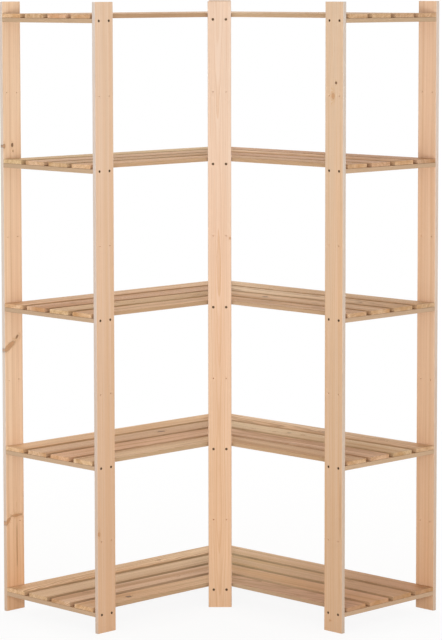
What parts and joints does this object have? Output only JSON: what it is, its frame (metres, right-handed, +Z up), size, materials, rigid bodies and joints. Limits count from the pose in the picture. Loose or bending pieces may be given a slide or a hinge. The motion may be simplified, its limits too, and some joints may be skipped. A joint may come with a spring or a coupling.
{
  "type": "corner shelf unit",
  "caption": "Tall corner rack in natural pine: L-shaped slatted shelves on cross battens, screwed between flat-board posts, with a post across each corner.",
  "frame": {"origin": "middle of the bounding box in plan, on the floor; it lies in the open angle between the wings", "axes": "+Z up; the room corner is at (-X, +Y); the right wing runs along +X against the back wall at +Y, the left wing along -Y against the side wall at -X; the open angle of the L, and the picture's camera, look from (+X, -Y)"},
  "size_m": [0.855, 0.855, 1.7],
  "materials": {
    "front_pine": "planed, unvarnished",
    "back_pine": "planed, unvarnished",
    "slat_pine": "planed, unvarnished",
    "batten_pine": "planed, unvarnished"
  },
  "bodies": {
    "root": {"right_front_post": "front_pine", "right_back_post": "back_pine", "left_front_post": "front_pine", "left_back_post": "back_pine", "inner_corner_post": "front_pine", "outer_corner_post": "back_pine", "shelf_1_diagonal_batten": "batten_pine", "shelf_1_right_slat_1": "slat_pine", "shelf_1_right_slat_2": "slat_pine", "shelf_1_right_slat_3": "slat_pine", "shelf_1_right_slat_4": "slat_pine", "shelf_1_right_end_batten": "batten_pine", "shelf_1_left_slat_1": "slat_pine", "shelf_1_left_slat_2": "slat_pine", "shelf_1_left_slat_3": "slat_pine", "shelf_1_left_slat_4": "slat_pine", "shelf_1_left_end_batten": "batten_pine", "shelf_2_diagonal_batten": "batten_pine", "shelf_2_right_slat_1": "slat_pine", "shelf_2_right_slat_2": "slat_pine", "shelf_2_right_slat_3": "slat_pine", "shelf_2_right_slat_4": "slat_pine", "shelf_2_right_end_batten": "batten_pine", "shelf_2_left_slat_1": "slat_pine", "shelf_2_left_slat_2": "slat_pine", "shelf_2_left_slat_3": "slat_pine", "shelf_2_left_slat_4": "slat_pine", "shelf_2_left_end_batten": "batten_pine", "shelf_3_diagonal_batten": "batten_pine", "shelf_3_right_slat_1": "slat_pine", "shelf_3_right_slat_2": "slat_pine", "shelf_3_right_slat_3": "slat_pine", "shelf_3_right_slat_4": "slat_pine", "shelf_3_right_end_batten": "batten_pine", "shelf_3_left_slat_1": "slat_pine", "shelf_3_left_slat_2": "slat_pine", "shelf_3_left_slat_3": "slat_pine", "shelf_3_left_slat_4": "slat_pine", "shelf_3_left_end_batten": "batten_pine", "shelf_4_diagonal_batten": "batten_pine", "shelf_4_right_slat_1": "slat_pine", "shelf_4_right_slat_2": "slat_pine", "shelf_4_right_slat_3": "slat_pine", "shelf_4_right_slat_4": "slat_pine", "shelf_4_right_end_batten": "batten_pine", "shelf_4_left_slat_1": "slat_pine", "shelf_4_left_slat_2": "slat_pine", "shelf_4_left_slat_3": "slat_pine", "shelf_4_left_slat_4": "slat_pine", "shelf_4_left_end_batten": "batten_pine", "shelf_5_right_slat_1": "slat_pine", "shelf_5_right_slat_2": "slat_pine", "shelf_5_right_slat_3": "slat_pine", "shelf_5_right_slat_4": "slat_pine", "shelf_5_right_end_batten": "batten_pine", "shelf_5_left_slat_1": "slat_pine", "shelf_5_left_slat_2": "slat_pine", "shelf_5_left_slat_3": "slat_pine", "shelf_5_left_slat_4": "slat_pine", "shelf_5_left_end_batten": "batten_pine"}
  },
  "joints": []
}
